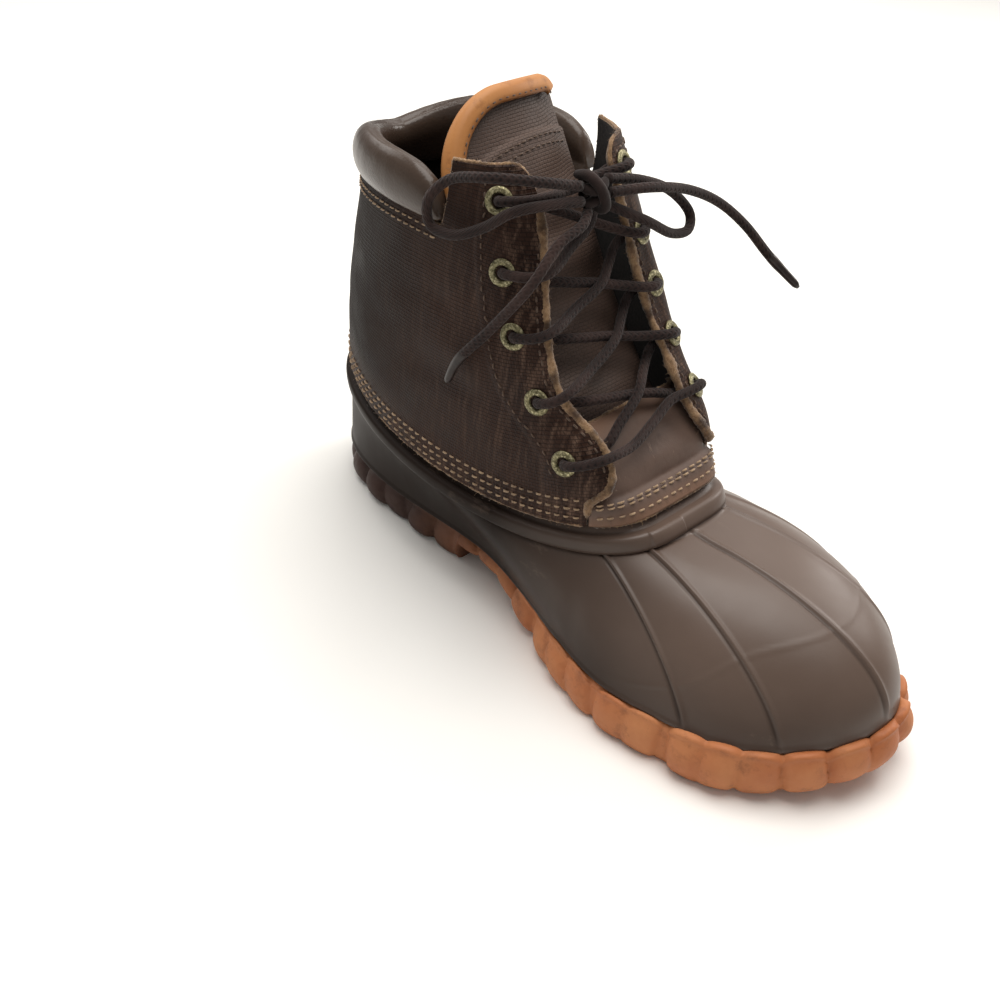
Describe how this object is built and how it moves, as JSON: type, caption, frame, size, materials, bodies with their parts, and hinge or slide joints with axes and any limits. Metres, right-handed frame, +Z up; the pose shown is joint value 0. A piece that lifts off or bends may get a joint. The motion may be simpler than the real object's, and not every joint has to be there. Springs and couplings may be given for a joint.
{
  "type": "winter boot",
  "caption": "Laced ankle-high winter boot with a leather shaft sewn to a moulded rubber shell on a lumpy rubber sole.",
  "frame": {"origin": "on the ground, under the middle of the boot's outline", "axes": "+Z up, -Y towards the toe, +X towards the outer side of the foot"},
  "size_m": [0.1367, 0.2864, 0.1969],
  "materials": {
    "sole_rubber": "matt moulded rubber",
    "shell_rubber": "satin moulded rubber",
    "insole_felt": "felt",
    "dark_leather": "embossed, waxed and worn",
    "plug_leather": "smooth and scuffed",
    "binding_leather": "smooth tan",
    "collar_leather": "smooth padded",
    "brass": "antique",
    "lace_cord": "braided cord",
    "lace_tip": "smooth moulded tip"
  },
  "bodies": {
    "root": {"outsole": "sole_rubber", "insole": "insole_felt", "rubber_shell": "shell_rubber", "quarters": "dark_leather", "vamp_plug": "plug_leather", "tongue": "plug_leather", "tongue_binding": "binding_leather", "collar_pad": "collar_leather", "eyelet_medial_1": "brass", "eyelet_medial_2": "brass", "eyelet_medial_3": "brass", "eyelet_medial_4": "brass", "eyelet_medial_5": "brass", "eyelet_lateral_1": "brass", "eyelet_lateral_2": "brass", "eyelet_lateral_3": "brass", "eyelet_lateral_4": "brass", "eyelet_lateral_5": "brass", "lace_bar": "lace_cord", "lace_cross_1": "lace_cord", "lace_cross_2": "lace_cord", "lace_cross_3": "lace_cord", "lace_cross_4": "lace_cord", "lace_leads": "lace_cord", "lace_knot": "lace_cord", "lace_loop_medial": "lace_cord", "lace_loop_lateral": "lace_cord", "lace_end_medial": "lace_cord", "lace_end_lateral": "lace_cord", "aglet_medial": "lace_tip", "aglet_lateral": "lace_tip"}
  },
  "joints": []
}
